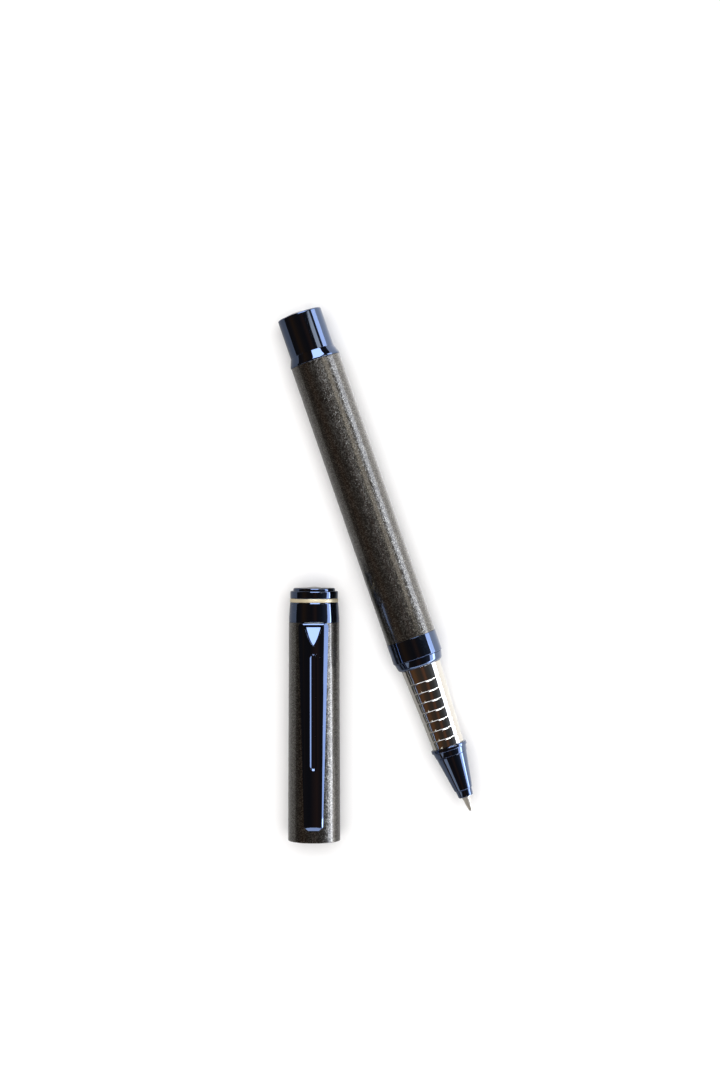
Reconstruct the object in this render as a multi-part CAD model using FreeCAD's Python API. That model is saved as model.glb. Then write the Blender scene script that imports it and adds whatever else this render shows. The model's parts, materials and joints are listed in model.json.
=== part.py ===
import FreeCAD, Part
import math
import os

# A capped rollerball pen, lying on a table with its cap pulled off beside it.
# Every piece is modelled upright on its own axis first. The pen's pieces are measured from the writing
# point back towards the tail, and the cap's from its mouth up to its crown. The pen and the cap are
# then laid down on the table: +Z is up from the table, and +Y runs along the cap, from mouth to crown.

V = FreeCAD.Vector

# ---- driving dimensions, in millimetres ----

# where the pen and the cap lie
PEN_TURN = 19.1  # degrees between the pen and the cap
PEN_POINT = (22.89, -56.82)  # the writing point on the table, x and y
CAP_MOUTH = (-14.71, -63.82)  # the centre of the cap's mouth, x and y

# the pen's stations along its axis, from the writing point
NOSE_START = 3.7
NOSE_STEP = 5.6
NOSE_LINE = 14.3
NOSE_RING = (15.7, 16.6)
GRIP_END = 36.86
RING_START = 36.9
RING_EDGE = 38.9
BARREL_START = 44.0
BARREL_END = 114.0
FLARE_END = 116.3
TAIL_END = 125.9

# the pen's radii
BARREL_R = 6.05
RING_R = 6.10
FLARE_R = 6.15
TAIL_R = 5.40
BORE_R = 5.40
NOSE_RING_R = 4.39
GRIP_FRONT_R = 3.86
GRIP_REAR_R = 4.83
GRIP_HOLLOW = 1.2  # power of the grip's curve: above 1 it is waisted towards the nose
GRIP_GROOVES = 7
GROOVE_PITCH = 2.43
GROOVE_DEPTH = 0.12

# the screwed joint between the section and the barrel
THREAD_R = 4.45
THREAD_ROOT_R = 4.05
THREAD_END = 45.2

# the refill, of the usual 110 mm length
REFILL_END = 110.4
REFILL_R = 3.05
BALL_R = 0.35
SPRING_WIRE_R = 0.3
SPRING_R = 2.3
SPRING_TURNS = 4.5
SPRING = (110.8, 117.1)  # the middle of the wire at its two ends

# the cap's stations above its mouth
CAP_TUBE_TOP = 52.2
BAND_TOP = 57.0
GOLD_TOP = 57.9
CROWN_TOP = 59.7
DISC_TOP = 60.4

# the cap's radii
CAP_MOUTH_R = 6.24
CAP_TOP_R = 6.03
CAP_BORE_R = 5.62
BAND_TOP_R = 5.77
CROWN_R = 5.70
DISC_R = 5.00
LINER_BORE_R = 5.15
SEAL_BORE_R = 4.55

# the clip
CLIP_FOOT = 3.2
CLIP_HEAD = 52.5
CLIP_FOOT_WIDTH = 4.45
CLIP_HEAD_WIDTH = 7.15
CLIP_FOOT_RISE = 8.35  # outer face above the cap's axis
CLIP_HEAD_RISE = 9.25
CLIP_CLEAR_R = 6.20  # the clip's saddle, just clear of the cap tube
CHANNEL = (17.5, 45.0)
CHANNEL_WIDTH = 1.6
CHANNEL_DEPTH = 0.35
TANG = (49.7, 51.1)
TANG_WIDTH = 3.0

# gaps
GLUE = 0.02  # round glued and pressed joints
SLIP = 0.05  # between pieces that slide or turn on each other


# ---- shaping helpers ----

def turned(corners):
    """A solid turned about Z. Each corner is (radius, height) or (radius, height, rounding)."""
    spots = [V(corner[0], 0, corner[1]) for corner in corners]
    joints = []
    for index, corner in enumerate(corners):
        here = spots[index]
        back = spots[index - 1] - here
        ahead = spots[(index + 1) % len(spots)] - here
        rounding = corner[2] if len(corner) > 2 else 0
        if rounding == 0:
            joints.append((here, None, here))
            continue
        back.normalize()
        ahead.normalize()
        half = back.getAngle(ahead) / 2
        inward = back + ahead
        inward.normalize()
        reach = rounding / math.tan(half)
        middle = here + inward * (rounding / math.sin(half) - rounding)
        joints.append((here + back * reach, middle, here + ahead * reach))
    edges = []
    for index, (start, middle, end) in enumerate(joints):
        if middle is not None:
            edges.append(Part.Arc(start, middle, end).toShape())
        following = joints[(index + 1) % len(joints)][0]
        if (following - end).Length > 1e-6:
            edges.append(Part.makeLine(end, following))
    face = Part.Face(Part.Wire(edges))
    return face.revolve(V(0, 0, 0), V(0, 0, 1), 360)


def sleeve(inner, outer, low, high, rounding=0):
    """A plain tube between two heights, with its outer edges rounded."""
    return turned([(inner, low), (outer, low, rounding), (outer, high, rounding), (inner, high)])


def rod(radius, low, high):
    return Part.makeCylinder(radius, high - low, V(0, 0, low))


def block(width, near, far, low, high):
    """A box across the cap's clip side, centred on the clip, between two rises and two heights."""
    return Part.makeBox(width, far - near, high - low, V(-width / 2, -far, low))


def dome(radius, rise, base):
    """A shallow domed disc standing on a flat base."""
    sphere_r = (radius ** 2 + rise ** 2) / (2 * rise)
    ball = Part.makeSphere(sphere_r, V(0, 0, base + rise - sphere_r))
    return ball.common(rod(radius, base, base + rise + 1))


# ---- the pen: refill ----

def tip_ball():
    return Part.makeSphere(BALL_R, V(0, 0, BALL_R))


def refill_tip():
    """The metal point: a cone swaged over the ball, on a stem with an ink hole down it."""
    body = turned([
        (0.0, 0.2), (0.42, 0.2), (0.50, 0.55), (0.95, 3.2), (1.05, 3.4), (1.05, 8.4), (0.0, 8.4),
    ])
    socket = Part.makeSphere(BALL_R + 0.02, V(0, 0, BALL_R))
    return body.cut(socket).cut(rod(0.25, 0.3, 9))


def refill_holder():
    """The stepped plastic front end that holds the metal point in the refill."""
    bore = 1.05 + GLUE
    return turned([
        (bore, 7.7), (1.7, 7.7, 0.2), (1.7, 15.8), (2.5, 16.4), (2.5, 20.0), (REFILL_R, 21.0),
        (REFILL_R, 24.0), (2.7, 24.0), (2.7, 27.0), (bore, 27.0),
    ])


def refill_tube():
    return sleeve(2.7 + GLUE, REFILL_R, 24.0 + GLUE, REFILL_END - 2.0)


def ink_reservoir():
    """The rod of fibre that holds the ink."""
    return rod(2.6, 27.2, REFILL_END - 5.2)


def refill_plug():
    head = REFILL_END - 2.0 + GLUE
    return turned([(0, head - 3), (2.7, head - 3), (2.7, head), (REFILL_R, head),
                   (REFILL_R, REFILL_END, 0.4), (0, REFILL_END)])


# ---- the pen: section ----

def nose_cone():
    """The tapered nose, with a step near the point and a fine line before its ring."""
    start = NOSE_START + 0.05
    outside = [
        (1.2, start), (1.78, start, 0.15), (1.98, NOSE_STEP - 0.15), (2.2, NOSE_STEP),
        (3.72, NOSE_LINE - 0.2), (3.72, NOSE_LINE - 0.05), (3.86, NOSE_LINE + 0.05),
        (4.12, NOSE_RING[0] - GLUE),
    ]
    inside = [(1.9, NOSE_RING[0] - GLUE), (1.9, 7.5), (1.2, 7.0)]
    return turned(outside + inside)


def nose_ring():
    low, high = NOSE_RING
    return sleeve(3.3 + GLUE, NOSE_RING_R, low, high, 0.18)


def grip_radius(height):
    share = (height - NOSE_RING[1]) / (GRIP_END - NOSE_RING[1])
    return GRIP_FRONT_R + (GRIP_REAR_R - GRIP_FRONT_R) * share ** GRIP_HOLLOW


def grip_sleeve():
    """The polished grip: a gently waisted taper crossed by fine turned grooves."""
    start = NOSE_RING[1] + GLUE
    outside = [(grip_radius(start), start)]
    for groove in range(GRIP_GROOVES):
        middle = NOSE_RING[1] + 2.0 + groove * GROOVE_PITCH
        outside.append((grip_radius(middle - 0.14), middle - 0.14))
        outside.append((grip_radius(middle) - GROOVE_DEPTH, middle))
        outside.append((grip_radius(middle + 0.14), middle + 0.14))
    outside.append((GRIP_REAR_R, GRIP_END, 0.12))
    bore = 3.3 + GLUE
    return turned([(bore, start)] + outside + [(bore, GRIP_END)])


def section_core():
    """The brass tube down the middle of the section, screwed into the barrel behind the grip."""
    nose_end = NOSE_RING[0] + 0.02
    neck = RING_START
    return turned([
        (2.65, nose_end), (3.3, nose_end), (3.3, GRIP_END + GLUE), (3.85, GRIP_END + GLUE),
        (3.85, neck + 1.7), (THREAD_ROOT_R, neck + 1.7), (THREAD_ROOT_R, THREAD_END, 0.2),
        (REFILL_R + 0.1, THREAD_END), (REFILL_R + 0.1, 20.6), (2.65, 19.6),
    ])


def section_washer():
    """The sealing washer on the section's neck, which goes in and out with it without turning."""
    return sleeve(3.85 + SLIP, 4.62, RING_START + 0.25, RING_START + 0.95, 0.15)


# ---- the pen: barrel ----

def front_ring():
    """The dark ring on the barrel's front end, with a taper, a fine edge and a spigot into the tube."""
    spigot_r = BORE_R - GLUE
    return turned([
        (4.72, RING_START), (5.04, RING_START, 0.1), (5.50, RING_START + 0.35), (5.86, RING_EDGE - 0.06),
        (5.80, RING_EDGE), (RING_R, RING_EDGE + 0.14, 0.05), (RING_R, BARREL_START - GLUE, 0.06),
        (spigot_r, BARREL_START - GLUE), (spigot_r, BARREL_START + 7.0), (4.95, BARREL_START + 7.0),
        (4.95, RING_EDGE), (4.72, RING_EDGE),
    ])


def thread_bush():
    """The threaded brass bush inside the front ring."""
    return sleeve(THREAD_R + 0.12, 4.95 - GLUE, RING_EDGE + 0.1, BARREL_START + 6.5, 0.1)


def barrel_tube():
    return turned([
        (BORE_R, BARREL_START), (BARREL_R, BARREL_START, 0.1),
        (BARREL_R, BARREL_END, 0.1), (BORE_R, BARREL_END),
    ])


def tail_piece():
    """The dark tail: a flare down from the barrel to a narrower end that the cap can sit on."""
    spigot_r = BORE_R - GLUE
    flare = BARREL_END + GLUE
    return turned([
        (spigot_r, BARREL_END - 6.0), (spigot_r, flare), (FLARE_R, flare, 0.08), (FLARE_R, flare + 0.35, 0.15),
        (5.62, FLARE_END - 0.55, 1.2), (TAIL_R, FLARE_END, 0.5), (TAIL_R, TAIL_END, 0.35),
        (4.55, TAIL_END), (4.55, TAIL_END - 0.6), (0.0, TAIL_END - 0.6), (0.0, BARREL_END + 6.5),
        (3.9, BARREL_END + 6.5), (3.9, BARREL_END - 6.0),
    ])


def tail_medallion():
    """The polished domed disc set in the tail's end."""
    seat = TAIL_END - 0.6 + GLUE
    disc = rod(4.5, seat, TAIL_END - 0.05)
    return disc.fuse(dome(4.5, 0.7, TAIL_END - 0.05)).removeSplitter()


def spring_seat():
    """The plastic seat that centres the refill's spring inside the tail."""
    top = BARREL_END + 6.5 - GLUE
    return turned([(0, 113.2), (1.6, 113.2, 0.3), (1.6, 117.5), (3.8, 117.5), (3.8, top), (0, top)])


def refill_spring():
    """The small compression spring behind the refill."""
    low, high = SPRING
    pitch = (high - low) / SPRING_TURNS
    path = Part.Wire(Part.makeHelix(pitch, pitch / 2, SPRING_R).Edges)
    rim = Part.makeCircle(SPRING_WIRE_R, V(SPRING_R, 0, 0), V(0, SPRING_R * 2 * math.pi, pitch))
    half_turn = path.makePipeShell([Part.Wire(rim)], True, True)
    pieces = []
    for step in range(round(SPRING_TURNS * 2)):
        piece = half_turn.copy()
        piece.rotate(V(0, 0, 0), V(0, 0, 1), 180 * step)
        piece.translate(V(0, 0, low + step * pitch / 2))
        pieces.append(piece)
    return pieces[0].fuse(pieces[1:])


# ---- the cap ----

def cap_radius(height):
    return CAP_MOUTH_R + (CAP_TOP_R - CAP_MOUTH_R) * height / CAP_TUBE_TOP


def cap_tube():
    """The lacquered tube, barely tapered, with a rounded mouth and a slot for the clip's tang."""
    tube = turned([
        (CAP_BORE_R, 1.0), (5.95, 0.0, 0.1), (CAP_MOUTH_R, 0.0, 0.2), (CAP_MOUTH_R - 0.002, 0.6),
        (CAP_TOP_R, CAP_TUBE_TOP, 0.06), (CAP_BORE_R, CAP_TUBE_TOP),
    ])
    slot = block(TANG_WIDTH + 0.4, 4.0, 8.0, TANG[0] - 0.2, TANG[1] + 0.2)
    return tube.cut(slot)


def cap_liner():
    """The plastic sleeve inside the mouth, with a low ridge that snaps over the front ring."""
    outer = CAP_BORE_R - GLUE
    return turned([
        (LINER_BORE_R + 0.2, 2.2), (outer, 2.2), (outer, 21.0), (LINER_BORE_R, 21.0), (LINER_BORE_R, 2.6),
    ])


def inner_cap():
    """The seal cup that closes round the nose so that the point can't dry out."""
    outer = CAP_BORE_R - GLUE
    return turned([
        (SEAL_BORE_R + 0.3, 21.1), (outer, 21.1), (outer, 42.4), (0.0, 42.4), (0.0, 41.0),
        (SEAL_BORE_R - 0.4, 41.0, 0.6), (SEAL_BORE_R, 30.0), (SEAL_BORE_R, 21.6),
    ])


def cap_bush():
    """The brass bush pressed into the tube's top, which holds the band, the clip and the screw."""
    outer = CAP_BORE_R - GLUE
    shoulder = 5.0
    bush = turned([
        (1.6, 45.5), (outer, 45.5, 0.3), (outer, CAP_TUBE_TOP), (shoulder, CAP_TUBE_TOP),
        (shoulder, GOLD_TOP - GLUE), (1.6, GOLD_TOP - GLUE),
    ])
    return bush.cut(block(TANG_WIDTH + 0.4, 4.3, 8.0, TANG[0] - 0.2, TANG[1] + 0.2))


def cap_screw():
    """The screw up through the bush that pulls the crown down onto the cap."""
    screw = turned([
        (0, 43.6), (3.4, 43.6, 0.3), (3.4, 45.5 - GLUE), (1.5, 45.5 - GLUE),
        (1.5, CROWN_TOP - 0.9), (0, CROWN_TOP - 0.9),
    ])
    driver_slot = Part.makeBox(7.2, 0.8, 0.9, V(-3.6, -0.4, 43.5))
    return screw.cut(driver_slot)


def cap_band():
    """The dark tapered band above the tube."""
    low = CAP_TUBE_TOP + GLUE
    return turned([
        (5.0 + GLUE, low), (CAP_TOP_R - 0.01, low, 0.05), (CAP_TOP_R - 0.03, low + 1.2),
        (BAND_TOP_R, BAND_TOP - 0.25), (BAND_TOP_R - 0.12, BAND_TOP - GLUE), (5.0 + GLUE, BAND_TOP - GLUE),
    ])


def gold_ring():
    """The thin plated ring, slightly proud of the grooves beside it."""
    return sleeve(5.0 + GLUE, CROWN_R + 0.06, BAND_TOP, GOLD_TOP - GLUE, 0.14)


def crown_ring():
    return turned([
        (1.5 + GLUE, GOLD_TOP), (CROWN_R - 0.12, GOLD_TOP), (CROWN_R, GOLD_TOP + 0.15),
        (CROWN_R, CROWN_TOP, 0.28), (1.5 + GLUE, CROWN_TOP),
    ])


def crown_disc():
    """The low step on top, recessed for its medallion."""
    low = CROWN_TOP + GLUE
    return turned([
        (0, low), (DISC_R, low), (DISC_R, DISC_TOP, 0.3), (2.1, DISC_TOP), (2.1, low + 0.25), (0, low + 0.25),
    ])


def crown_medallion():
    seat = CROWN_TOP + 2 * GLUE + 0.25
    disc = rod(2.06, seat, DISC_TOP)
    return disc.fuse(dome(2.06, 0.3, DISC_TOP)).removeSplitter()


# ---- the clip ----

def clip_face(height, width, rise, bevel, drop):
    """The clip's outline across its length: a slightly crowned face between two bevels."""
    crown = 0.28
    side = width / 2
    flat = side - bevel
    under = 4.9
    corners = [
        V(-side, -under, height), V(-side, -(rise - crown - drop), height), V(-flat, -(rise - crown), height),
        V(flat, -(rise - crown), height), V(side, -(rise - crown - drop), height), V(side, -under, height),
    ]
    edges = [
        Part.makeLine(corners[0], corners[1]),
        Part.makeLine(corners[1], corners[2]),
        Part.Arc(corners[2], V(0, -rise, height), corners[3]).toShape(),
        Part.makeLine(corners[3], corners[4]),
        Part.makeLine(corners[4], corners[5]),
        Part.makeLine(corners[5], corners[0]),
    ]
    return Part.Wire(edges)


def across(outline, width):
    """A prism across the clip from a side outline of (rise, height) points."""
    points = [V(-width / 2, -rise, height) for rise, height in outline]
    face = Part.Face(Part.makePolygon(points + points[:1]))
    return face.extrude(V(width, 0, 0))


def clip_plan():
    """The clip seen from above: cut corners at the foot and rounded shoulders at the head."""
    foot = CLIP_FOOT_WIDTH / 2 + 0.1
    head = CLIP_HEAD_WIDTH / 2 + 0.1
    corner = 0.95
    shoulder = 1.3
    points = [
        V(-foot + corner, -3, CLIP_FOOT), V(foot - corner, -3, CLIP_FOOT), V(foot, -3, CLIP_FOOT + corner),
        V(head, -3, CLIP_HEAD - shoulder), V(head - shoulder, -3, CLIP_HEAD),
        V(shoulder - head, -3, CLIP_HEAD), V(-head, -3, CLIP_HEAD - shoulder), V(-foot, -3, CLIP_FOOT + corner),
    ]
    bow = shoulder * (1 - math.sqrt(0.5))
    right_bend = V(head - bow, -3, CLIP_HEAD - bow)
    left_bend = V(bow - head, -3, CLIP_HEAD - bow)
    edges = [
        Part.makeLine(points[0], points[1]),
        Part.makeLine(points[1], points[2]),
        Part.makeLine(points[2], points[3]),
        Part.Arc(points[3], right_bend, points[4]).toShape(),
        Part.makeLine(points[4], points[5]),
        Part.Arc(points[5], left_bend, points[6]).toShape(),
        Part.makeLine(points[6], points[7]), Part.makeLine(points[7], points[0]),
    ]
    return Part.Face(Part.Wire(edges)).extrude(V(0, -8, 0))


def clip_shield():
    """The pointed hollow at the clip's head, its floor sloping down towards the crown."""
    point = 46.9
    top = CLIP_HEAD + 1
    rim = CLIP_HEAD_RISE + 1
    bow = Part.Arc(V(0, -rim, point), V(1.28, -rim, point + 2.9), V(1.78, -rim, CLIP_HEAD - 0.5)).toShape()
    back = Part.Arc(V(-1.78, -rim, CLIP_HEAD - 0.5), V(-1.28, -rim, point + 2.9), V(0, -rim, point)).toShape()
    plan = [
        bow,
        Part.makeLine(V(1.78, -rim, CLIP_HEAD - 0.5), V(1.95, -rim, top)),
        Part.makeLine(V(1.95, -rim, top), V(-1.95, -rim, top)),
        Part.makeLine(V(-1.95, -rim, top), V(-1.78, -rim, CLIP_HEAD - 0.5)),
        back,
    ]
    shaft = Part.Face(Part.Wire(plan)).extrude(V(0, 6, 0))
    slope = across([
        (CLIP_HEAD_RISE - 0.12, point - 0.3), (CLIP_HEAD_RISE + 2, point - 0.3), (CLIP_HEAD_RISE + 2, top),
        (CLIP_HEAD_RISE - 2.0, top),
    ], 6)
    return shaft.common(slope)


def clip_channel():
    """The long shallow channel down the clip's face, rounded at both ends."""
    low, high = CHANNEL
    half = CHANNEL_WIDTH / 2
    slot = Part.makeBox(CHANNEL_WIDTH, 20, high - low - CHANNEL_WIDTH, V(-half, -20, low + half))
    for height in (low + half, high - half):
        slot = slot.fuse(Part.makeCylinder(half, 20, V(0, -20, height), V(0, 1, 0)))
    share = (CLIP_HEAD_RISE - CLIP_FOOT_RISE) / (CLIP_HEAD - CLIP_FOOT)
    low_floor = CLIP_FOOT_RISE + share * (low - CLIP_FOOT) - CHANNEL_DEPTH
    high_floor = CLIP_FOOT_RISE + share * (high - CLIP_FOOT) - CHANNEL_DEPTH
    above = across([(low_floor, low), (low_floor + 3, low), (high_floor + 3, high), (high_floor, high)], 4)
    return slot.common(above)


def clip():
    """The sprung clip, with a contact bump at its foot and a tang through the cap's wall at its head."""
    low_face = clip_face(CLIP_FOOT, CLIP_FOOT_WIDTH, CLIP_FOOT_RISE, 0.4, 0.35)
    high_face = clip_face(CLIP_HEAD, CLIP_HEAD_WIDTH, CLIP_HEAD_RISE, 1.15, 0.75)
    body = Part.makeLoft([low_face, high_face], True, True)
    body = body.common(clip_plan())
    gap = across([
        (3, 0), (CLIP_FOOT_RISE - 1.4, 0), (CLIP_HEAD_RISE - 1.7, 42.0), (CLIP_HEAD_RISE - 2.0, 44.0),
        (CLIP_HEAD_RISE - 2.6, 45.2), (3, 45.8),
    ], 10)
    foot_bevel = across([
        (CLIP_FOOT_RISE - 0.75, CLIP_FOOT - 0.1), (CLIP_FOOT_RISE + 0.2, CLIP_FOOT + 0.95),
        (CLIP_FOOT_RISE + 2, CLIP_FOOT - 0.1),
    ], 10)
    head_bevel = across([
        (CLIP_HEAD_RISE - 2.35, CLIP_HEAD + 0.1), (CLIP_HEAD_RISE + 0.2, CLIP_HEAD - 1.3),
        (CLIP_HEAD_RISE + 2, CLIP_HEAD + 0.1),
    ], 10)
    body = body.cut(gap).cut(foot_bevel).cut(head_bevel)
    body = body.cut(clip_channel()).cut(clip_shield())
    body = body.cut(rod(CLIP_CLEAR_R, 0, 60))
    bump_rise = cap_radius(6) + 0.12
    bump = Part.makeSphere(1.6, V(0, -(bump_rise + 1.6), 6.0))
    tang = block(TANG_WIDTH, 4.6, 7.0, TANG[0], TANG[1])
    bump = bump.common(block(4, 5, CLIP_FOOT_RISE - 0.6, 3, 9))
    return body.fuse(bump).fuse(tang).removeSplitter()


# ---- laying the pieces down ----

def lay_down(shape, place, height, turn):
    """Tips an upright piece over so that its axis runs along the table, then turns and places it."""
    shape.rotate(V(0, 0, 0), V(1, 0, 0), -90)
    shape.rotate(V(0, 0, 0), V(0, 0, 1), turn)
    shape.translate(V(place[0], place[1], height))
    return shape


PEN_PIECES = [
    tip_ball, refill_tip, refill_holder, refill_tube, ink_reservoir, refill_plug,
    nose_cone, nose_ring, grip_sleeve, section_core, section_washer,
    front_ring, thread_bush, barrel_tube, tail_piece, tail_medallion, spring_seat, refill_spring,
]
CAP_PIECES = [
    cap_tube, cap_liner, inner_cap, cap_bush, cap_screw, cap_band, gold_ring, crown_ring,
    crown_disc, crown_medallion, clip,
]

os.makedirs("parts", exist_ok=True)
whole = FreeCAD.BoundBox()
for make in PEN_PIECES + CAP_PIECES:
    if make in PEN_PIECES:
        shape = lay_down(make(), PEN_POINT, FLARE_R, PEN_TURN)
    else:
        shape = lay_down(make(), CAP_MOUTH, CAP_MOUTH_R, 0)
    whole.add(shape.BoundBox)
    shape.exportStep("parts/" + make.__name__ + ".step")
    print(f"{make.__name__:18} solids {len(shape.Solids)}  valid {shape.isValid()}  volume {shape.Volume:9.2f} mm3")
print("box", whole)
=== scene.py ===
import json
import math
import bmesh
import bpy
from mathutils import Matrix, Vector


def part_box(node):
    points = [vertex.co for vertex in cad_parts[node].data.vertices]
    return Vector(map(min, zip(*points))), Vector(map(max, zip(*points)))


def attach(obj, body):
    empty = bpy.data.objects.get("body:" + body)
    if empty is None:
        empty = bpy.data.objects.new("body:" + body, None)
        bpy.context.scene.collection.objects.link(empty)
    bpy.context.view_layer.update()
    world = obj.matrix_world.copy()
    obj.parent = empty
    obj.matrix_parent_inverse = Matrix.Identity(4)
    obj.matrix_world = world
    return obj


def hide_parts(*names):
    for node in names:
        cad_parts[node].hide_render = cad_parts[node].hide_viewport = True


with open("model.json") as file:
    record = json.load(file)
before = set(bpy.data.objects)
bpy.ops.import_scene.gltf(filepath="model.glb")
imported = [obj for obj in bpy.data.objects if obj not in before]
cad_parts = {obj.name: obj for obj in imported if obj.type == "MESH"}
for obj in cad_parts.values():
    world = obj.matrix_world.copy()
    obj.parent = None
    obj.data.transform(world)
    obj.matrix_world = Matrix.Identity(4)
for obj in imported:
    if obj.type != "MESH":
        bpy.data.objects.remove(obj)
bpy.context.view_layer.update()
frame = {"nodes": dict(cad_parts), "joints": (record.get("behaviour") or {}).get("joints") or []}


# ==== The barrel tube ====
# The long tube of the pen: drawn brass with its ends faced square and their edges broken.
# It is sprayed with a bronze-grey metallic lacquer and slipped over the spigots of ring and tail.

MM = 0.001
TURN_STEPS = 192

joints = {joint["name"]: joint for joint in frame["joints"]}
towards_point = Vector(joints["section_turn"]["axis"])
pen_turn = math.atan2(towards_point.x, -towards_point.y)
LIE_DOWN = Matrix.Rotation(-math.pi / 2, 4, "X")
pen_place = Matrix.Translation(joints["section_turn"]["pos_m"]) @ Matrix.Rotation(pen_turn, 4, "Z") @ LIE_DOWN


def hex_colour(code):
    """A linear colour from an sRGB hex code."""
    channels = [int(code[place:place + 2], 16) / 255 for place in (1, 3, 5)]
    return [c / 12.92 if c <= 0.04045 else ((c + 0.055) / 1.055) ** 2.4 for c in channels] + [1.0]


def new_material(name):
    material = bpy.data.materials.new(name)
    material.use_nodes = True
    material.node_tree.nodes.clear()
    return material


def add(material, kind, values=None, links=None, **settings):
    """Adds one node: settings are its own options, values its sockets' numbers, links its inputs."""
    made = material.node_tree.nodes.new(kind)
    for option, value in settings.items():
        setattr(made, option, value)
    for socket, value in (values or {}).items():
        made.inputs[socket].default_value = value
    for socket, source in (links or {}).items():
        material.node_tree.links.new(source, made.inputs[socket])
    return made


def ramp_stops(ramp, stops):
    """Sets a colour ramp's stops from (position, colour) pairs."""
    elements = ramp.color_ramp.elements
    while len(elements) > len(stops):
        elements.remove(elements[-1])
    while len(elements) < len(stops):
        elements.new(1.0)
    for element, (position, colour) in zip(elements, stops):
        element.position = position
        element.color = colour


def made_object(name, shape, material, smooth_below=30):
    """Turns a finished bmesh into an object that shades smooth, but keeps its flats flat."""
    mesh = bpy.data.meshes.new(name)
    shape.to_mesh(mesh)
    shape.free()
    mesh.shade_smooth()
    mesh.set_sharp_from_angle(angle=math.radians(smooth_below))
    mesh.materials.append(material)
    piece = bpy.data.objects.new(name, mesh)
    bpy.context.scene.collection.objects.link(piece)
    flats = piece.modifiers.new("flats", "WEIGHTED_NORMAL")
    flats.keep_sharp = True
    return piece


def turned(name, outline, place, material):
    """A piece turned on a lathe. The outline runs over (radius, height, edge rounding) corners in mm;
    a piece with a hole comes back to its first corner, and a solid one starts and ends on the axis."""
    shape = bmesh.new()
    corners = [shape.verts.new((corner[0] * MM, 0, corner[1] * MM)) for corner in outline]
    hollow = outline[0][0] > 0
    for start, end in zip(corners, corners[1:] + corners[:1] if hollow else corners[1:]):
        shape.edges.new((start, end))
    bmesh.ops.spin(shape, geom=shape.verts[:] + shape.edges[:], cent=(0, 0, 0), axis=(0, 0, 1),
                   angle=math.tau, steps=TURN_STEPS, use_merge=True)
    bmesh.ops.remove_doubles(shape, verts=shape.verts, dist=1e-7)
    bmesh.ops.recalc_face_normals(shape, faces=shape.faces)
    for corner in outline:
        if len(corner) > 2:
            ring = [edge for edge in shape.edges if all(
                abs(vert.co.z - corner[1] * MM) < 1e-7
                and abs(vert.co.xy.length - corner[0] * MM) < 1e-7 for vert in edge.verts)]
            bmesh.ops.bevel(shape, geom=ring, offset=corner[2] * MM, offset_type="OFFSET", segments=4,
                            profile=0.5, affect="EDGES", material=-1, clamp_overlap=True)
    shape.transform(place)
    return made_object(name, shape, material)


def lacquered_brass():
    """Metallic lacquer: a bronze-grey coat full of aluminium flakes under a clear coat, polished.
    The flakes glint one by one near a highlight. Real ones are 0.03 mm; these are drawn at 0.2 mm to show."""
    flake_size = 0.2 * MM
    material = new_material("bronze metallic lacquer on brass")
    spot = add(material, "ShaderNodeTexCoord").outputs["Object"]
    flakes = add(material, "ShaderNodeTexVoronoi", {"Scale": 1 / flake_size}, {"Vector": spot})
    pick = add(material, "ShaderNodeSeparateColor", links={"Color": flakes.outputs["Color"]})
    cloud = add(material, "ShaderNodeTexNoise", {"Scale": 1 / (1.2 * MM), "Detail": 3.0}, {"Vector": spot})
    tone = add(material, "ShaderNodeMath", {1: 0.3}, {0: cloud.outputs["Fac"]}, operation="MULTIPLY")
    blend = add(material, "ShaderNodeMath", {1: 0.7}, {0: pick.outputs["Red"], 2: tone.outputs[0]},
                operation="MULTIPLY_ADD")
    colour = add(material, "ShaderNodeValToRGB", links={"Fac": blend.outputs[0]})
    ramp_stops(colour, [
        (0.1, hex_colour("#3a3731")), (0.5, hex_colour("#4a4640")), (0.9, hex_colour("#7f7d76")),
    ])
    tilt = add(material, "ShaderNodeVectorMath", {1: (0.5, 0.5, 0.5)}, {0: flakes.outputs["Color"]},
               operation="SUBTRACT")
    lean = add(material, "ShaderNodeVectorMath", {"Scale": 0.22}, {0: tilt.outputs[0]}, operation="SCALE")
    facing = add(material, "ShaderNodeNewGeometry")
    tipped = add(material, "ShaderNodeVectorMath", links={0: facing.outputs["Normal"], 1: lean.outputs[0]},
                 operation="ADD")
    flake_normal = add(material, "ShaderNodeVectorMath", links={0: tipped.outputs[0]}, operation="NORMALIZE")
    shader = add(material, "ShaderNodeBsdfPrincipled", {
        "Metallic": 0.92, "Roughness": 0.3, "Coat Weight": 1.0, "Coat Roughness": 0.05, "Coat IOR": 1.5,
    }, {"Base Color": colour.outputs["Color"], "Normal": flake_normal.outputs[0]})
    add(material, "ShaderNodeOutputMaterial", links={"Surface": shader.outputs[0]})
    return material


bronze_lacquer = lacquered_brass()
BARREL_START = 44.0
BARREL_END = 114.0
barrel = turned("barrel_shell", [
    (5.4, BARREL_START), (6.05, BARREL_START, 0.1), (6.05, BARREL_END, 0.1), (5.4, BARREL_END),
], pen_place, bronze_lacquer)
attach(barrel, "barrel")
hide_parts("barrel_tube")


# ==== The front ring ====
# A turned brass ring on the barrel's front end, polished and plated with a hard blue-black coat.
# Its taper leads into the cap, whose mouth stops at the fine edge; its spigot is glued into the tube.

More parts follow.
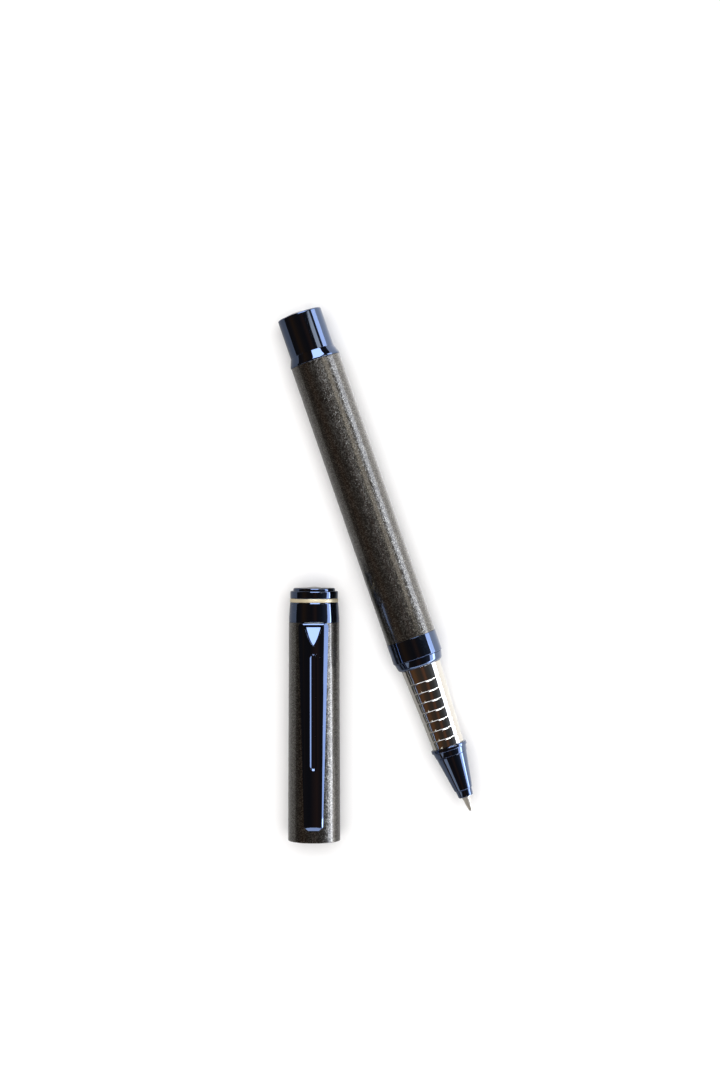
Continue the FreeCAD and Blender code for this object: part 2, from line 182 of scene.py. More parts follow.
def black_plated():
    """Black vapour-deposited plating on polished brass: a dark blue mirror, with dust and fine wear."""
    material = new_material("blue-black vapour plating")
    spot = add(material, "ShaderNodeTexCoord").outputs["Object"]
    haze = add(material, "ShaderNodeTexNoise", {"Scale": 1 / (1.5 * MM), "Detail": 4.0}, {"Vector": spot})
    roughness = add(material, "ShaderNodeMapRange", {"From Min": 0.35, "From Max": 0.7, "To Min": 0.03,
                    "To Max": 0.065}, {"Value": haze.outputs["Fac"]})
    dust = add(material, "ShaderNodeTexVoronoi", {"Scale": 1 / (1.7 * MM)}, {"Vector": spot})
    speck = add(material, "ShaderNodeMapRange", {"From Min": 0.035, "From Max": 0.06, "To Min": 1.0,
                "To Max": 0.0}, {"Value": dust.outputs["Distance"]})
    dusty = add(material, "ShaderNodeMath", {1: 0.35}, {0: speck.outputs[0]}, operation="MULTIPLY")
    rough = add(material, "ShaderNodeMath", links={0: roughness.outputs[0], 1: dusty.outputs[0]},
                operation="ADD")
    colour = add(material, "ShaderNodeMix", {6: hex_colour("#5a6780"), 7: hex_colour("#8d8f93")},
                 {0: dusty.outputs[0]}, data_type="RGBA")
    scuffs = add(material, "ShaderNodeTexNoise", {"Scale": 1 / (0.35 * MM), "Detail": 2.0}, {"Vector": spot})
    bump = add(material, "ShaderNodeBump", {"Strength": 0.05, "Distance": 0.02 * MM},
               {"Height": scuffs.outputs["Fac"]})
    shader = add(material, "ShaderNodeBsdfPrincipled", {"Metallic": 1.0}, {
        "Base Color": colour.outputs[2], "Roughness": rough.outputs[0], "Normal": bump.outputs[0]})
    add(material, "ShaderNodeOutputMaterial", links={"Surface": shader.outputs[0]})
    return material


black_plating = black_plated()
RING_START = 36.9
RING_EDGE = 38.9
ring = turned("front_ring_shell", [
    (4.72, RING_START), (5.04, RING_START, 0.1), (5.50, RING_START + 0.35, 0.3), (5.86, RING_EDGE - 0.06),
    (5.80, RING_EDGE), (6.10, RING_EDGE + 0.14, 0.08), (6.10, BARREL_START - 0.02, 0.08),
    (5.38, BARREL_START - 0.02), (5.38, BARREL_START + 7), (4.95, BARREL_START + 7), (4.95, RING_EDGE),
    (4.72, RING_EDGE),
], pen_place, black_plating)
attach(ring, "barrel")
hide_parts("front_ring")


# ==== The tail piece ====
# A turned brass end, flared to meet the barrel and stepped down to a straight end that the cap can sit on.
# It has the same black plating, and its own spigot is glued into the barrel tube.

BARREL_END_FACE = BARREL_END + 0.02
FLARE_END = 116.3
TAIL_END = 125.9
tail = turned("tail_shell", [
    (5.38, BARREL_END - 6), (5.38, BARREL_END_FACE), (6.15, BARREL_END_FACE, 0.08),
    (6.15, BARREL_END_FACE + 0.35, 0.15), (5.62, FLARE_END - 0.55, 0.9), (5.40, FLARE_END, 0.35),
    (5.40, TAIL_END, 0.35), (4.55, TAIL_END, 0.05), (4.55, TAIL_END - 0.6), (3.9, TAIL_END - 0.6),
    (3.9, BARREL_END - 6),
], pen_place, black_plating)
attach(tail, "barrel")
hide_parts("tail_piece")


# ==== The tail medallion ====
# A polished silver-plated disc, pressed to a shallow dome and set in the recess of the tail's end.

def silver_plated():
    """Bright silver plate: the palest of metals, with the faint haze of handling."""
    material = new_material("polished silver plate")
    spot = add(material, "ShaderNodeTexCoord").outputs["Object"]
    haze = add(material, "ShaderNodeTexNoise", {"Scale": 1 / (0.8 * MM), "Detail": 4.0}, {"Vector": spot})
    roughness = add(material, "ShaderNodeMapRange", {"To Min": 0.06, "To Max": 0.2},
                    {"Value": haze.outputs["Fac"]})
    bump = add(material, "ShaderNodeBump", {"Strength": 0.08, "Distance": 0.02 * MM},
               {"Height": haze.outputs["Fac"]})
    shader = add(material, "ShaderNodeBsdfPrincipled", {
        "Base Color": hex_colour("#e9e7e2"), "Metallic": 1.0,
    }, {"Roughness": roughness.outputs[0], "Normal": bump.outputs[0]})
    add(material, "ShaderNodeOutputMaterial", links={"Surface": shader.outputs[0]})
    return material


def dome_outline(radius, edge, rise, steps=10):
    """Corners of a shallow dome from its rim to its middle, on an arc that rises from the rim."""
    arc_r = (radius ** 2 + rise ** 2) / (2 * rise)
    full = math.asin(radius / arc_r)
    angles = [full * (1 - step / steps) for step in range(steps + 1)]
    return [(arc_r * math.sin(a), edge + rise - arc_r * (1 - math.cos(a))) for a in angles]


silver_plate = silver_plated()
medallion = turned("tail_medallion_dome", [(0.0, TAIL_END - 0.58), (4.5, TAIL_END - 0.58)]
                   + dome_outline(4.5, TAIL_END - 0.05, 0.7), pen_place, silver_plate)
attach(medallion, "barrel")
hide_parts("tail_medallion")


# ==== The barrel's inner pieces ====
# A threaded brass bush in the front ring, and behind the refill a steel spring on a moulded plastic seat.

def machined_brass():
    """Free-cutting brass as it leaves the lathe: fine turning rings and a slight tarnish."""
    material = new_material("turned brass")
    spot = add(material, "ShaderNodeTexCoord").outputs["Object"]
    stain = add(material, "ShaderNodeTexNoise", {"Scale": 1 / (2 * MM), "Detail": 3.0}, {"Vector": spot})
    colour = add(material, "ShaderNodeValToRGB", links={"Fac": stain.outputs["Fac"]})
    ramp_stops(colour, [(0.3, hex_colour("#b58c49")), (0.7, hex_colour("#d9bd7c"))])
    rings = add(material, "ShaderNodeTexNoise", {"Scale": 1 / (0.15 * MM)}, {"Vector": spot})
    bump = add(material, "ShaderNodeBump", {"Strength": 0.1, "Distance": 0.02 * MM},
               {"Height": rings.outputs["Fac"]})
    shader = add(material, "ShaderNodeBsdfPrincipled", {"Metallic": 1.0, "Roughness": 0.28}, {
        "Base Color": colour.outputs["Color"], "Normal": bump.outputs[0]})
    add(material, "ShaderNodeOutputMaterial", links={"Surface": shader.outputs[0]})
    return material


def moulded_plastic(name, code, roughness):
    """Injection-moulded plastic: a soft sheen with the mould's slight unevenness."""
    material = new_material(name)
    spot = add(material, "ShaderNodeTexCoord").outputs["Object"]
    flow = add(material, "ShaderNodeTexNoise", {"Scale": 1 / (0.6 * MM), "Detail": 3.0}, {"Vector": spot})
    sheen = add(material, "ShaderNodeMapRange", {"To Min": roughness - 0.06, "To Max": roughness + 0.06},
                {"Value": flow.outputs["Fac"]})
    bump = add(material, "ShaderNodeBump", {"Strength": 0.1, "Distance": 0.03 * MM},
               {"Height": flow.outputs["Fac"]})
    shader = add(material, "ShaderNodeBsdfPrincipled", {"Base Color": hex_colour(code), "IOR": 1.49}, {
        "Roughness": sheen.outputs[0], "Normal": bump.outputs[0]})
    add(material, "ShaderNodeOutputMaterial", links={"Surface": shader.outputs[0]})
    return material


def plain_steel():
    """Drawn steel: bright grey, with lengthwise draw marks too fine to see one by one."""
    material = new_material("bright steel")
    spot = add(material, "ShaderNodeTexCoord").outputs["Object"]
    grain = add(material, "ShaderNodeTexNoise", {"Scale": 1 / (0.3 * MM), "Detail": 3.0}, {"Vector": spot})
    roughness = add(material, "ShaderNodeMapRange", {"To Min": 0.2, "To Max": 0.36},
                    {"Value": grain.outputs["Fac"]})
    shader = add(material, "ShaderNodeBsdfPrincipled", {
        "Base Color": hex_colour("#b9b8b6"), "Metallic": 1.0}, {"Roughness": roughness.outputs[0]})
    add(material, "ShaderNodeOutputMaterial", links={"Surface": shader.outputs[0]})
    return material


turned_brass = machined_brass()
black_plastic = moulded_plastic("black moulded plastic", "#17171a", 0.32)
bright_steel = plain_steel()
for node, material in {"thread_bush": turned_brass, "spring_seat": black_plastic,
                       "refill_spring": bright_steel}.items():
    frame["nodes"][node].data.materials.clear()
    frame["nodes"][node].data.materials.append(material)


# ==== The section core ====
# The brass tube that the grip, the ring and the nose are pressed onto.
# Behind the grip it carries the male thread that screws into the barrel, eight turns of 0.75 mm pitch.

PITCH = 0.75
THREAD_ROOT = 4.05
THREAD_CREST = 4.45
THREAD = (38.95, 44.9)
SECTION_END = 45.2
GRIP_END = 36.86


def male_thread(shape):
    """Winds a ridge round the core from the neck to its rear end."""
    turns = (THREAD[1] - THREAD[0]) / PITCH - 1
    steps_each = 64
    foot = THREAD_ROOT - 0.05
    ridge = [(foot, -0.3), (THREAD_CREST, -0.06), (THREAD_CREST, 0.06), (foot, 0.3)]
    start = THREAD[0] + PITCH / 2
    corners = [shape.verts.new((radius * MM, 0, (start + height) * MM)) for radius, height in ridge]
    profile = shape.faces.new(corners)
    geometry = [profile] + list(profile.edges) + corners
    bmesh.ops.spin(shape, geom=geometry, cent=(0, 0, 0), axis=(0, 0, 1), angle=math.tau * turns,
                   dvec=(0, 0, PITCH * MM / steps_each), steps=int(turns * steps_each), use_merge=False)


core = turned("section_core_tube", [
    (3.15, 20.6), (3.3, 20.6), (3.3, GRIP_END), (3.85, GRIP_END), (3.85, THREAD[0] - 0.3),
    (THREAD_ROOT, THREAD[0] - 0.3), (THREAD_ROOT, SECTION_END, 0.2), (3.15, SECTION_END),
], pen_place, turned_brass)
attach(core, "section")
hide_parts("section_core")
thread_shape = bmesh.new()
male_thread(thread_shape)
bmesh.ops.recalc_face_normals(thread_shape, faces=thread_shape.faces)
thread_shape.transform(pen_place)
thread = made_object("section_thread", thread_shape, turned_brass)
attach(thread, "section")


# ==== The grip ====
# A brass sleeve, slightly waisted, with seven fine turned grooves that stop the fingers slipping.
# It is polished and chromed to a full mirror.

NOSE_RING = (15.7, 16.6)
GRIP_FRONT_R = 3.86
GRIP_REAR_R = 4.83
GRIP_WAIST = 1.2
GROOVES = 7
GROOVE_PITCH = 2.43
GROOVE_HALF = 0.16
GROOVE_DEPTH = 0.12


def chromed():
    """Decorative chrome over nickel: a near-white mirror with only hairline haze from handling."""
    material = new_material("mirror chrome")
    spot = add(material, "ShaderNodeTexCoord").outputs["Object"]
    haze = add(material, "ShaderNodeTexNoise", {"Scale": 1 / (0.7 * MM), "Detail": 4.0}, {"Vector": spot})
    roughness = add(material, "ShaderNodeMapRange", {"To Min": 0.03, "To Max": 0.08},
                    {"Value": haze.outputs["Fac"]})
    bump = add(material, "ShaderNodeBump", {"Strength": 0.12, "Distance": 0.02 * MM},
               {"Height": haze.outputs["Fac"]})
    shader = add(material, "ShaderNodeBsdfPrincipled", {
        "Base Color": hex_colour("#dad6cd"), "Metallic": 1.0,
    }, {"Roughness": roughness.outputs[0], "Normal": bump.outputs[0]})
    add(material, "ShaderNodeOutputMaterial", links={"Surface": shader.outputs[0]})
    return material


def grip_radius(height):
    share = (height - NOSE_RING[1]) / (GRIP_END - NOSE_RING[1])
    return GRIP_FRONT_R + (GRIP_REAR_R - GRIP_FRONT_R) * max(share, 0) ** GRIP_WAIST


mirror_chrome = chromed()
grip_start = NOSE_RING[1] + 0.02
grip_outline = [(3.32, grip_start), (grip_radius(grip_start), grip_start, 0.05)]
for groove in range(GROOVES):
    middle = NOSE_RING[1] + 2.0 + groove * GROOVE_PITCH
    grip_outline += [
        (grip_radius(middle - GROOVE_PITCH / 2), middle - GROOVE_PITCH / 2),
        (grip_radius(middle - GROOVE_HALF), middle - GROOVE_HALF, 0.04),
        (grip_radius(middle) - GROOVE_DEPTH, middle, 0.05),
        (grip_radius(middle + GROOVE_HALF), middle + GROOVE_HALF, 0.04),
    ]
grip_outline += [(GRIP_REAR_R, GRIP_END, 0.12), (3.32, GRIP_END)]
grip = turned("grip_shell", grip_outline, pen_place, mirror_chrome)
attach(grip, "section")
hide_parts("grip_sleeve")


# ==== The nose ring and the nose ====
# Two turned brass pieces in the black plating. The ring is a thin collar that stops the fingers.
# The nose is a cone with a fine line below its collar and a step before the refill's point.

collar = turned("nose_ring_collar", [
    (3.32, NOSE_RING[0]), (4.39, NOSE_RING[0], 0.18), (4.39, NOSE_RING[1], 0.18), (3.32, NOSE_RING[1]),
], pen_place, black_plating)
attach(collar, "section")
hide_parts("nose_ring")

NOSE_START = 3.75
NOSE_STEP = 5.6
NOSE_LINE = 14.3
nose = turned("nose_shell", [
    (1.2, NOSE_START, 0.05), (1.78, NOSE_START, 0.15), (1.98, NOSE_STEP - 0.15), (2.2, NOSE_STEP, 0.06),
    (3.72, NOSE_LINE - 0.2, 0.05), (3.70, NOSE_LINE - 0.05), (3.86, NOSE_LINE + 0.05, 0.04),
    (4.12, NOSE_RING[0] - 0.02), (1.9, NOSE_RING[0] - 0.02), (1.9, 7.5), (1.2, 7.0),
], pen_place, black_plating)
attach(nose, "section")
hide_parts("nose_cone")


# ==== The sealing washer ====
# A rubber washer on the section's neck, nipped between the section and the bush when they are screwed up.

def seal_rubber():
    """Nitrile rubber: matt black with a fine bloom."""
    material = new_material("nitrile rubber")
    spot = add(material, "ShaderNodeTexCoord").outputs["Object"]
    bloom = add(material, "ShaderNodeTexNoise", {"Scale": 1 / (0.25 * MM), "Detail": 4.0}, {"Vector": spot})
    colour = add(material, "ShaderNodeValToRGB", links={"Fac": bloom.outputs["Fac"]})
    ramp_stops(colour, [(0.3, hex_colour("#141414")), (0.8, hex_colour("#2c2b2a"))])
    bump = add(material, "ShaderNodeBump", {"Strength": 0.3, "Distance": 0.03 * MM},
               {"Height": bloom.outputs["Fac"]})
    shader = add(material, "ShaderNodeBsdfPrincipled", {"Roughness": 0.75, "IOR": 1.52}, {
        "Base Color": colour.outputs["Color"], "Normal": bump.outputs[0]})
    add(material, "ShaderNodeOutputMaterial", links={"Surface": shader.outputs[0]})
    return material


washer = turned("sealing_washer", [
    (3.9, RING_START + 0.25, 0.1), (4.62, RING_START + 0.25, 0.15), (4.62, RING_START + 0.95, 0.15),
    (3.9, RING_START + 0.95, 0.1),
], pen_place, seal_rubber())
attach(washer, "washer")
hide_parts("section_washer")


# ==== The refill ====
# A standard rollerball refill. Its nickel silver point is turned to a cone and swaged over the ball.
# The point sits in a black plastic front end on a pale plastic body full of inked fibre, closed by a plug.

def nickel_silver():
    """Nickel silver: a warm grey alloy, with the turning rings of a very small lathe cut."""
    material = new_material("turned nickel silver")
    spot = add(material, "ShaderNodeTexCoord").outputs["Object"]
    grain = add(material, "ShaderNodeTexNoise", {"Scale": 1 / (0.25 * MM), "Detail": 3.0}, {"Vector": spot})
    roughness = add(material, "ShaderNodeMapRange", {"To Min": 0.3, "To Max": 0.45},
                    {"Value": grain.outputs["Fac"]})
    bump = add(material, "ShaderNodeBump", {"Strength": 0.15, "Distance": 0.02 * MM},
               {"Height": grain.outputs["Fac"]})
    shader = add(material, "ShaderNodeBsdfPrincipled", {
        "Base Color": hex_colour("#cdc8bb"), "Metallic": 0.8,
    }, {"Roughness": roughness.outputs[0], "Normal": bump.outputs[0]})
    add(material, "ShaderNodeOutputMaterial", links={"Surface": shader.outputs[0]})
    return material


point = turned("refill_point", [
    (0.30, 0.32), (0.338, 0.2, 0.02), (0.42, 0.2, 0.06), (0.50, 0.55), (0.95, 3.2, 0.1), (1.05, 3.4, 0.05),
    (1.05, 8.4), (0.25, 8.4), (0.25, 0.6),
], pen_place, nickel_silver())
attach(point, "refill")
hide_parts("refill_tip")

ball_shape = bmesh.new()
bmesh.ops.create_uvsphere(ball_shape, u_segments=48, v_segments=24, radius=0.35 * MM)
ball_shape.transform(Matrix.Translation(joints["ball_roll"]["pos_m"]))
ball = made_object("writing_ball", ball_shape, bright_steel)
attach(ball, "ball")
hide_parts("tip_ball")

refill_plastic = moulded_plastic("natural moulded plastic", "#d9dad6", 0.3)
ink_fibre = moulded_plastic("inked bonded fibre", "#10142c", 0.8)
for node, material in {"refill_holder": black_plastic, "refill_tube": refill_plastic,
                       "refill_plug": black_plastic, "ink_reservoir": ink_fibre}.items():
    frame["nodes"][node].data.materials.clear()
    frame["nodes"][node].data.materials.append(material)


# ==== The cap tube ====
# The cap's brass tube, sprayed with the same lacquer as the barrel. It is barely tapered, its mouth
# is rolled smooth, and its top end is faced square where the band sits on it.

cap_low, cap_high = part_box("cap_tube")
cap_middle = (cap_low + cap_high) / 2
cap_place = Matrix.Translation((cap_middle.x, cap_low.y, cap_middle.z)) @ LIE_DOWN
CAP_TOP = 52.2
CAP_TOP_R = 6.03
CAP_BORE = 5.62
cap = turned("cap_shell", [
    (CAP_BORE, 1.0), (5.95, 0.0, 0.1), (6.24, 0.0, 0.2), (6.238, 0.6), (CAP_TOP_R, CAP_TOP, 0.06),
    (CAP_BORE, CAP_TOP),
], cap_place, bronze_lacquer)
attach(cap, "cap")
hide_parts("cap_tube")


# ==== The cap's inner pieces ====
# A plastic liner that snaps over the front ring, a plastic seal cup that keeps the point wet,
# and the brass bush and steel screw that hold the crown and the clip.

liner = turned("cap_liner_sleeve", [
    (5.35, 2.2, 0.05), (5.60, 2.2), (5.60, 21.0), (5.15, 21.0), (5.15, 2.6, 0.1),
], cap_place, black_plastic)
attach(liner, "cap")
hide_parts("cap_liner")

seal_cup = turned("seal_cup", [
    (0.0, 41.0), (4.15, 41.0, 0.6), (4.55, 30.0, 0.1), (4.55, 21.6, 0.05), (4.85, 21.1, 0.05), (5.60, 21.1),
    (5.60, 42.4), (0.0, 42.4),
], cap_place, black_plastic)
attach(seal_cup, "cap")
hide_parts("inner_cap")

for node, material in {"cap_bush": turned_brass, "cap_screw": bright_steel}.items():
    frame["nodes"][node].data.materials.clear()
    frame["nodes"][node].data.materials.append(material)


# ==== The band and the gold ring ====
# A tapered band in the black plating stands above the tube, and a thin ring with pale gold plating
# is trapped above it, a touch proud of the two.

def gold_plated():
    """Pale champagne gold plate, satin rather than bright, a little hazy from handling."""
    material = new_material("satin champagne gold plate")
    spot = add(material, "ShaderNodeTexCoord").outputs["Object"]
    haze = add(material, "ShaderNodeTexNoise", {"Scale": 1 / (0.5 * MM), "Detail": 3.0}, {"Vector": spot})
    roughness = add(material, "ShaderNodeMapRange", {"To Min": 0.36, "To Max": 0.46},
                    {"Value": haze.outputs["Fac"]})
    shader = add(material, "ShaderNodeBsdfPrincipled", {
        "Base Color": hex_colour("#e2d5b4"), "Metallic": 0.5}, {"Roughness": roughness.outputs[0]})
    add(material, "ShaderNodeOutputMaterial", links={"Surface": shader.outputs[0]})
    return material


BAND_TOP = 57.0
GOLD_TOP = 57.9
band = turned("cap_band_shell", [
    (5.02, CAP_TOP + 0.02), (6.02, CAP_TOP + 0.02, 0.06), (6.00, CAP_TOP + 1.22),
    (5.77, BAND_TOP - 0.25, 0.05), (5.65, BAND_TOP - 0.02), (5.02, BAND_TOP - 0.02),
], cap_place, black_plating)
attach(band, "cap")
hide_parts("cap_band")

gold = turned("gold_ring_band", [
    (5.02, BAND_TOP), (5.76, BAND_TOP, 0.14), (5.76, GOLD_TOP - 0.02, 0.14), (5.02, GOLD_TOP - 0.02),
], cap_place, gold_plated())
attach(gold, "cap")
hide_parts("gold_ring")


# ==== The crown ====
# The crown ring and the low disc on it are turned brass in the black plating.
# A small silver-plated dome fills the recess in the disc's middle.

CROWN_TOP = 59.7
DISC_TOP = 60.4
crown = turned("crown_ring_shell", [
    (1.52, GOLD_TOP), (5.58, GOLD_TOP), (5.70, GOLD_TOP + 0.15, 0.04), (5.70, CROWN_TOP, 0.28),
    (1.52, CROWN_TOP),
], cap_place, black_plating)
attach(crown, "cap")
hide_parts("crown_ring")

disc = turned("crown_step", [
    (0.0, CROWN_TOP + 0.02), (5.0, CROWN_TOP + 0.02), (5.0, DISC_TOP, 0.3), (2.1, DISC_TOP, 0.06),
    (2.1, CROWN_TOP + 0.27), (0.0, CROWN_TOP + 0.27),
], cap_place, black_plating)
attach(disc, "cap")
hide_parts("crown_disc")

button = turned("crown_dome", [(0.0, CROWN_TOP + 0.29), (2.06, CROWN_TOP + 0.29)]
                + dome_outline(2.06, DISC_TOP, 0.3), cap_place, silver_plate)
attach(button, "cap")
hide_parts("crown_medallion")


# ==== The clip ====
# A solid brass clip in the black plating, sprung at its head, where it is fixed through the cap's wall.
# Its face is slightly crowned between bevels, with a shallow channel and a pointed hollow at the head.

CLIP_FOOT = 3.2
CLIP_HEAD = 52.5
FOOT_HALF = 2.225
HEAD_HALF = 3.575
FOOT_RISE = 8.35
HEAD_RISE = 9.25
CROWNING = (0.16, 0.28)  # each pair of these is a size at the foot and at the head
BEVEL_WIDTH = (0.28, 1.15)
BEVEL_DROP = (0.25, 0.75)
FOOT_CORNER = 0.95
SHOULDER_R = 1.3
SHIELD_POINT = 46.9
SHIELD_TOP = 51.9
SHIELD_HALF = 2.15
SHIELD_WALL = 0.25
CHANNEL = (17.5, 45.0)
CHANNEL_HALF = 0.8
CHANNEL_DEPTH = 0.28
CHANNEL_WALL = 0.32
BUMP_HEIGHT = 6.0
BUMP_R = 1.6
SADDLE_R = 6.2


def between(low, high, share):
    return low + (high - low) * min(max(share, 0.0), 1.0)


def clip_half_width(height):
    """Half the clip's width, with its cut corners at the foot and its rounded shoulders at the head."""
    half = between(FOOT_HALF, HEAD_HALF, (height - CLIP_FOOT) / (CLIP_HEAD - CLIP_FOOT))
    if height < CLIP_FOOT + FOOT_CORNER:
        return half - (CLIP_FOOT + FOOT_CORNER - height)
    if height > CLIP_HEAD - SHOULDER_R:
        into = height - (CLIP_HEAD - SHOULDER_R)
        return half - SHOULDER_R + math.sqrt(max(SHOULDER_R ** 2 - into ** 2, 0.0))
    return half


def clip_face_rise(across, height):
    """The outer face's rise above the cap's axis, with its bevels, its channel and its pointed hollow."""
    share = (height - CLIP_FOOT) / (CLIP_HEAD - CLIP_FOOT)
    middle = between(FOOT_RISE, HEAD_RISE, share)
    half = between(FOOT_HALF, HEAD_HALF, share)
    bevel = between(*BEVEL_WIDTH, share)
    flat = half - bevel
    rise = middle - between(*CROWNING, share) * min(abs(across) / flat, 1.0) ** 2
    rise -= between(0.0, between(*BEVEL_DROP, share), (abs(across) - flat) / bevel)
    wall_share = (CHANNEL_HALF - channel_distance(across, height)) / CHANNEL_WALL
    rise -= CHANNEL_DEPTH * between(0.0, 1.0, wall_share)
    foot_bevel = FOOT_RISE - 0.66 + 0.75 * (height - CLIP_FOOT)
    head_bevel = HEAD_RISE - 1.05 + 1.8 * (CLIP_HEAD - height)
    rise = min(rise, foot_bevel, head_bevel)
    if height > SHIELD_TOP:
        return min(rise, middle - 0.3 - 0.33 * (height - SHIELD_TOP))
    if height > SHIELD_POINT:
        shield_half = SHIELD_HALF * ((height - SHIELD_POINT) / (SHIELD_TOP - SHIELD_POINT)) ** 0.62
        shield_floor = HEAD_RISE - 0.12 - 0.28 * (height - SHIELD_POINT + 0.3)
        rise = between(shield_floor, rise, (abs(across) - shield_half + SHIELD_WALL) / SHIELD_WALL)
    return rise


def channel_distance(across, height):
    """How far a point lies from the channel's centre line."""
    low, high = CHANNEL
    past_end = max(low + CHANNEL_HALF - height, height - high + CHANNEL_HALF, 0.0)
    return math.hypot(across, past_end)


def clip_under_rise(across, height):
    """The underside's rise: a thin springy blade with a contact bump at its foot, and a solid head."""
    blade_end = 42.0
    head_start = 45.8
    if height > head_start:
        return math.sqrt(SADDLE_R ** 2 - across ** 2)
    blade = between(6.95, 7.55, height / blade_end)
    ramp_down = between(7.55, 6.1, (height - blade_end) / (head_start - blade_end))
    from_bump = math.hypot(across, height - BUMP_HEIGHT)
    if from_bump < 1.4:
        return min(blade, 7.94 - math.sqrt(BUMP_R ** 2 - from_bump ** 2))
    return min(blade, ramp_down)


def clip_height(share):
    """Rows lie closer together at the foot and at the head, where the shape changes fastest."""
    if share < 0.1:
        return between(CLIP_FOOT, 5.2, share / 0.1)
    if share < 0.5:
        return between(5.2, 45.0, (share - 0.1) / 0.4)
    return between(45.0, CLIP_HEAD, math.sin((share - 0.5) * math.pi))


clip_shape = bmesh.new()
CLIP_COLUMNS = 96
CLIP_ROWS = 320
bmesh.ops.create_grid(clip_shape, x_segments=CLIP_COLUMNS, y_segments=CLIP_ROWS, size=1.0)
blade = bmesh.ops.extrude_face_region(clip_shape, geom=clip_shape.faces[:])
upper = {item for item in blade["geom"] if isinstance(item, bmesh.types.BMVert)}
for vert in clip_shape.verts:
    height = clip_height((vert.co.y + 1) / 2)
    inner = 1.2 * min(abs(vert.co.x) / 0.5, 1.0)
    across = math.copysign(between(inner, clip_half_width(height), abs(vert.co.x) * 2 - 1), vert.co.x)
    rise = clip_face_rise(across, height) if vert in upper else clip_under_rise(across, height)
    vert.co = Vector((across, -rise, height)) * MM
bmesh.ops.recalc_face_normals(clip_shape, faces=clip_shape.faces)
clip_shape.transform(cap_place)
clip = made_object("clip_shell", clip_shape, black_plating)
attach(clip, "clip")
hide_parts("clip")


# ==== The floor, the lights and the camera ====
# A matt white table under one very large overhead softbox, which lights it evenly to its edge.
# Small softboxes all round are there only for the polished metal to reflect, in a dim, warm studio.

def matt_white():
    """White painted board. In glossy rays only, its colour is painted darker on the pen's left and lighter on
    its right.
    This is a painted reflection of shade and light for the polished metal; no grey or white card stands in
    the set."""
    material = new_material("matt white board")
    spot = add(material, "ShaderNodeTexCoord").outputs["Object"]
    grain = add(material, "ShaderNodeTexNoise", {"Scale": 1 / (1.0 * MM), "Detail": 3.0}, {"Vector": spot})
    bump = add(material, "ShaderNodeBump", {"Strength": 0.05, "Distance": 0.05 * MM},
               {"Height": grain.outputs["Fac"]})
    right = towards_point.cross((0, 0, -1)).normalized()
    middle = right.dot(joints["section_turn"]["pos_m"])
    side = add(material, "ShaderNodeVectorMath", {1: right}, {0: spot}, operation="DOT_PRODUCT")
    # painted reflection: grey on the pen's left and near white on its right, seen only in glossy rays
    painted_reflection_tone = add(material, "ShaderNodeMapRange", {"From Min": middle - 3 * MM, "From Max": middle + 3 * MM,
               "To Min": 0.33, "To Max": 0.98}, {"Value": side.outputs["Value"]})
    mirrored = add(material, "ShaderNodeLightPath").outputs["Is Glossy Ray"]
    # the board is evenly white for camera and diffuse rays, and carries the painted reflection tone for
    # glossy rays
    white = add(material, "ShaderNodeMix", {2: 0.9}, {0: mirrored, 3: painted_reflection_tone.outputs[0]}, data_type="FLOAT")
    shader = add(material, "ShaderNodeBsdfDiffuse", links={
        "Color": white.outputs[0], "Normal": bump.outputs[0]})
    add(material, "ShaderNodeOutputMaterial", links={"Surface": shader.outputs[0]})
    return material


floor_shape = bmesh.new()
bmesh.ops.create_circle(floor_shape, cap_ends=True, segments=96, radius=4.0)
floor = made_object("floor", floor_shape, matt_white())


def softbox(name, place, size, watts, colour, faces=(0, 0, 0)):
    """A rectangular softbox, aimed at a point on the table."""
    light = bpy.data.lights.new(name, "AREA")
    light.shape = "RECTANGLE"
    light.size, light.size_y = size
    light.energy = watts
    light.color = hex_colour(colour)[:3]
    lamp = bpy.data.objects.new(name, light)
    aim = Vector(faces) - Vector(place)
    lamp.matrix_world = Matrix.Translation(place) @ aim.to_track_quat("-Z", "Y").to_matrix().to_4x4()
    lamp.visible_camera = False
    bpy.context.scene.collection.objects.link(lamp)
    return lamp


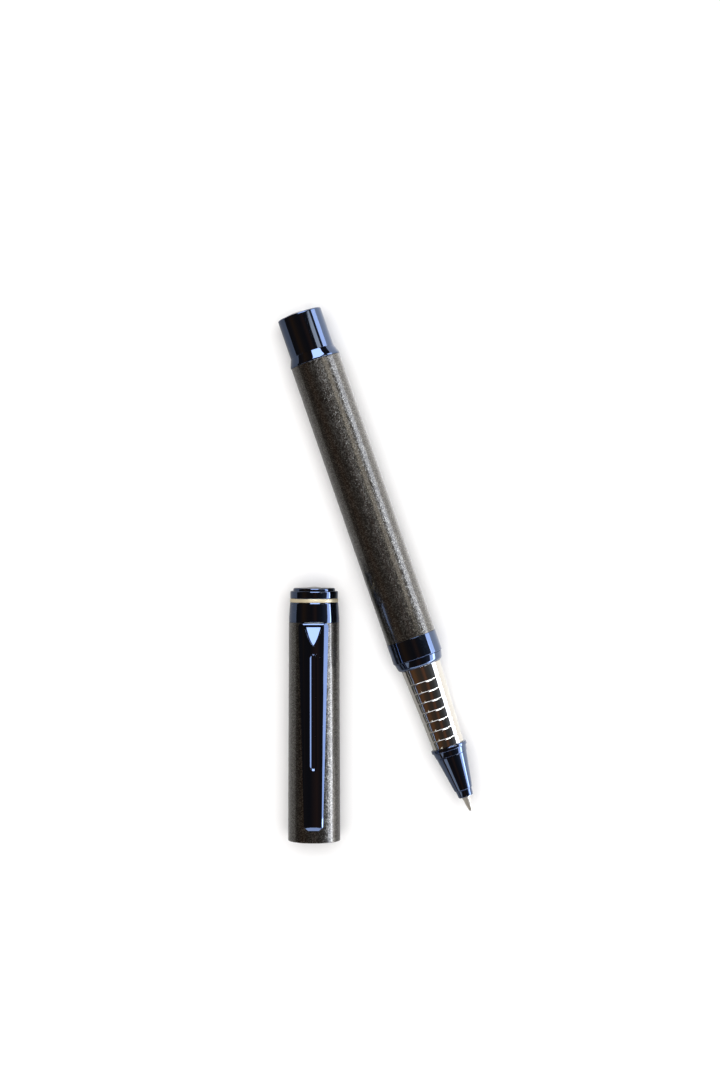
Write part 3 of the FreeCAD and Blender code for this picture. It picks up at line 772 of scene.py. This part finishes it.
overhead = softbox("overhead_softbox", (0, 0, 6.0), (8.0, 8.0), 690, "#ffffff")
overhead.visible_glossy = False
SOFTBOXES = {
    "right_low_softbox": ((0.85, -0.24, 0.09), (1.0, 0.17), 5.2, "#f0f5ff"),
    "right_high_softbox": ((0.85, -0.24, 0.30), (1.0, 0.25), 2.6, "#dfe9ff"),
    "rear_right_softbox": ((0.82, 0.42, 0.20), (0.6, 0.40), 3.0, "#e4ebfa"),
    "grip_softbox": ((0.62, 0.28, 0.72), (0.22, 0.34), 0.45, "#fff4e2"),
    "far_softbox": ((0.05, 0.67, 0.74), (0.7, 0.8), 11.0, "#e8f0ff"),
    "near_softbox": ((0.22, -0.92, 0.17), (1.2, 0.34), 2.8, "#e4ecfb"),
    "nose_softbox": ((-0.62, -0.64, 0.45), (0.2, 0.46), 0.30, "#eef2f0"),
}
for name, (place, size, watts, colour) in SOFTBOXES.items():
    lamp = softbox(name, place, size, watts, colour)
    lamp.visible_diffuse = False

world = bpy.data.worlds.new("studio")
world.use_nodes = True
world.node_tree.nodes.clear()
bpy.context.scene.world = world
way = add(world, "ShaderNodeTexCoord").outputs["Generated"]
axes = add(world, "ShaderNodeSeparateXYZ", links={"Vector": way})
side = add(world, "ShaderNodeMapRange", {"From Min": -1.0, "From Max": 1.0}, {"Value": axes.outputs["X"]})
walls = add(world, "ShaderNodeValToRGB", links={"Fac": side.outputs[0]})
ramp_stops(walls, [
    (0.0, hex_colour("#302c2a")), (0.05, hex_colour("#3a322e")), (0.12, hex_colour("#5a3f2a")),
    (0.25, hex_colour("#3d322b")), (0.42, hex_colour("#332e2c")), (0.56, hex_colour("#5c4032")),
    (0.64, hex_colour("#3a3330")), (0.8, hex_colour("#3a3c40")), (0.93, hex_colour("#5c5f66")),
    (1.0, hex_colour("#a8aab0")),
])
seen = add(world, "ShaderNodeLightPath").outputs["Is Camera Ray"]
backdrop = add(world, "ShaderNodeMix", {7: hex_colour("#f2f2f2")}, {0: seen, 6: walls.outputs["Color"]},
               data_type="RGBA")
glow = add(world, "ShaderNodeBackground", {"Strength": 1.0}, {"Color": backdrop.outputs[2]})
add(world, "ShaderNodeOutputWorld", links={"Surface": glow.outputs[0]})

CAMERA_HEIGHT = 0.5402
LENS = 74.3
camera_data = bpy.data.cameras.new("camera")
camera_data.lens = LENS
camera_data.sensor_width = 36
camera = bpy.data.objects.new("camera", camera_data)
camera.location = (-3.73 * MM, 8.08 * MM, CAMERA_HEIGHT)
bpy.context.scene.collection.objects.link(camera)
bpy.context.scene.camera = camera
bpy.context.scene.view_settings.view_transform = "Standard"
